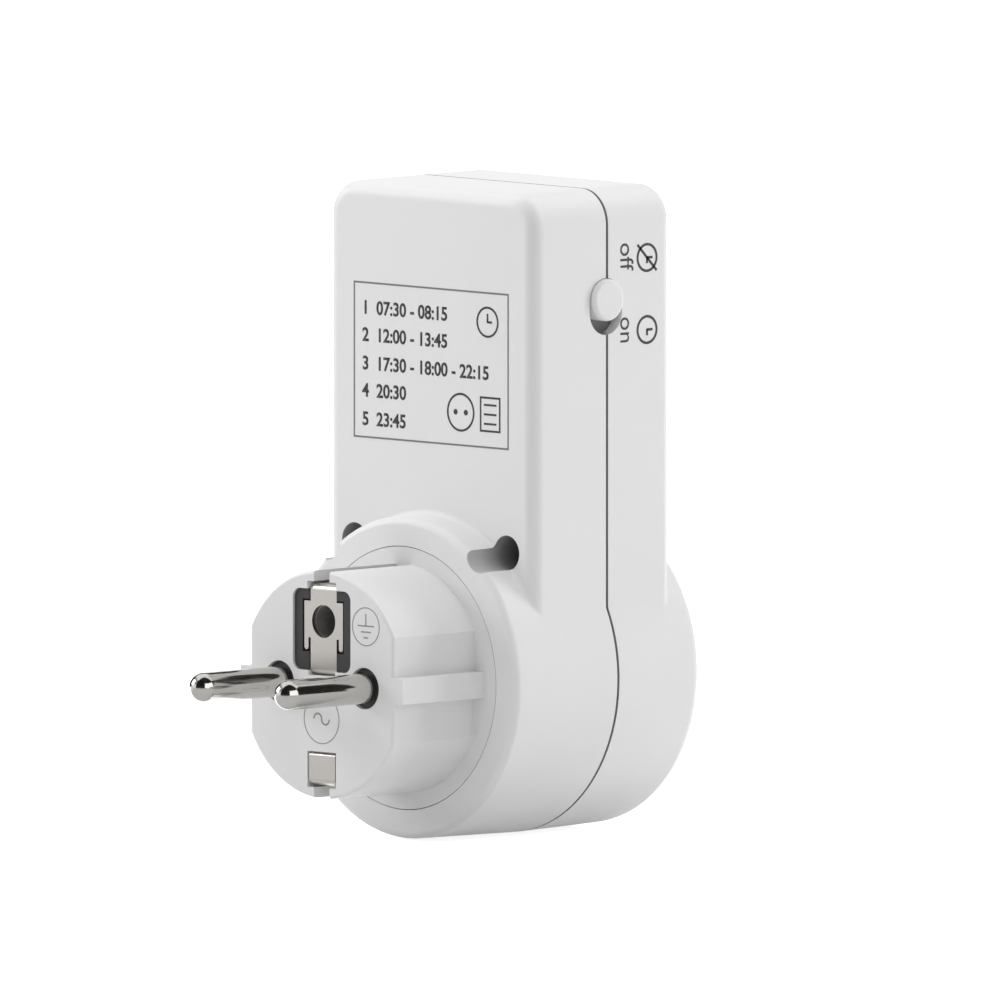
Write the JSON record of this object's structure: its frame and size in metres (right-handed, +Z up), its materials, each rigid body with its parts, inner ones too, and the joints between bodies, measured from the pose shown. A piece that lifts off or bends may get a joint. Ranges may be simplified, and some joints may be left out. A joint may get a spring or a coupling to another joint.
{
  "type": "plug-in timer switch",
  "caption": "Plug-in mains timer switch: a digital timer box over a round earthed plug, with keys, a display, a slide switch and an outlet on its front.",
  "frame": {"origin": "centre of the plug's face, midway between the two pins", "axes": "+Y out along the pins, towards the wall; -Y to the display and the outlet; +Z up along the case"},
  "size_m": [0.0514, 0.0785, 0.1029],
  "materials": {
    "white_plastic": "fine moulded satin",
    "white_gloss": "satin moulded",
    "dark_plastic": "moulded",
    "nickel": "polished nickel plate",
    "strip_metal": "stamped nickel-plated sheet",
    "copper_alloy": "stamped sheet",
    "screw_steel": "zinc plated",
    "board_green": "circuit board",
    "relay_blue": "moulded",
    "film_yellow": "moulded",
    "ceramic_blue": "dipped",
    "component_black": "moulded",
    "sleeve_black": "shrink sleeve",
    "can_metal": "bright can",
    "lcd": "display glass",
    "clear_window": "clear plastic",
    "key_grey": "moulded",
    "mat_rubber": "silicone",
    "lens_red": "translucent"
  },
  "bodies": {
    "housing": {"rear_shell": "white_plastic", "front_shell": "white_plastic", "case_screws": "screw_steel", "plug_insert": "white_plastic", "contact_carrier": "dark_plastic", "line_pin": "nickel", "neutral_pin": "nickel", "earth_strap": "strip_metal", "earth_clip_bottom": "strip_metal", "earth_receptacle": "strip_metal", "earth_bridge": "copper_alloy", "outlet_insert": "white_gloss", "shutter_spring": "screw_steel", "contact_block": "component_black", "line_contact": "copper_alloy", "neutral_contact": "copper_alloy", "outlet_earth_bracket": "strip_metal", "line_in_busbar": "copper_alloy", "line_out_busbar": "copper_alloy", "neutral_busbar": "copper_alloy", "power_board": "board_green", "relay": "relay_blue", "supply_capacitor": "film_yellow", "rectifier": "component_black", "smoothing_capacitor": "sleeve_black", "varistor": "ceramic_blue", "safety_resistor": "film_yellow", "board_link": "component_black", "power_board_screws": "screw_steel", "control_board_screws": "screw_steel", "control_board": "board_green", "controller_chip": "component_black", "crystal": "can_metal", "backup_battery": "can_metal", "battery_clip": "strip_metal", "display_window": "clear_window", "lcd_glass": "lcd", "lcd_frame": "component_black", "zebra_strip": "mat_rubber", "key_mat": "mat_rubber", "indicator_lens": "lens_red", "indicator_led": "lens_red", "slide_switch_body": "component_black"},
    "slider": {"slider_knob": "white_plastic"},
    "shutter_bar": {"shutter": "dark_plastic"},
    "reset_button": {"key_reset": "key_grey"},
    "clock_key": {"key_clock": "key_grey"},
    "day_key": {"key_day": "key_grey"},
    "program_key": {"key_program": "key_grey"},
    "hour_key": {"key_hour": "key_grey"},
    "minute_key": {"key_minute": "key_grey"},
    "mode_key": {"key_mode": "key_grey"}
  },
  "joints": [
    {"name": "mode_slide", "type": "slide", "parent": "housing", "child": "slider", "axis": [0, 0, -1], "range_m": [0, 0.0021]},
    {"name": "clock_press", "type": "slide", "parent": "housing", "child": "clock_key", "axis": [0, 1, 0], "range_m": [0, 0.0008], "stiffness_N_per_m": 1500, "springref_m": -0.0003},
    {"name": "day_press", "type": "slide", "parent": "housing", "child": "day_key", "axis": [0, 1, 0], "range_m": [0, 0.0008], "stiffness_N_per_m": 1500, "springref_m": -0.0003},
    {"name": "program_press", "type": "slide", "parent": "housing", "child": "program_key", "axis": [0, 1, 0], "range_m": [0, 0.0008], "stiffness_N_per_m": 1500, "springref_m": -0.0003},
    {"name": "hour_press", "type": "slide", "parent": "housing", "child": "hour_key", "axis": [0, 1, 0], "range_m": [0, 0.0008], "stiffness_N_per_m": 1500, "springref_m": -0.0003},
    {"name": "minute_press", "type": "slide", "parent": "housing", "child": "minute_key", "axis": [0, 1, 0], "range_m": [0, 0.0008], "stiffness_N_per_m": 1500, "springref_m": -0.0003},
    {"name": "mode_press", "type": "slide", "parent": "housing", "child": "mode_key", "axis": [0, 1, 0], "range_m": [0, 0.0008], "stiffness_N_per_m": 1500, "springref_m": -0.0003},
    {"name": "reset_press", "type": "slide", "parent": "housing", "child": "reset_button", "axis": [0, 1, 0], "range_m": [0, 0.0008], "stiffness_N_per_m": 1500, "springref_m": -0.0003},
    {"name": "shutter_turn", "type": "hinge", "parent": "housing", "child": "shutter_bar", "pos_m": [0, -0.038, 0], "axis": [0, -1, 0], "range_deg": [0, 38], "stiffness_Nm_per_rad": 0.004, "springref_deg": -11.46, "deforming": ["shutter_spring"]}
  ]
}
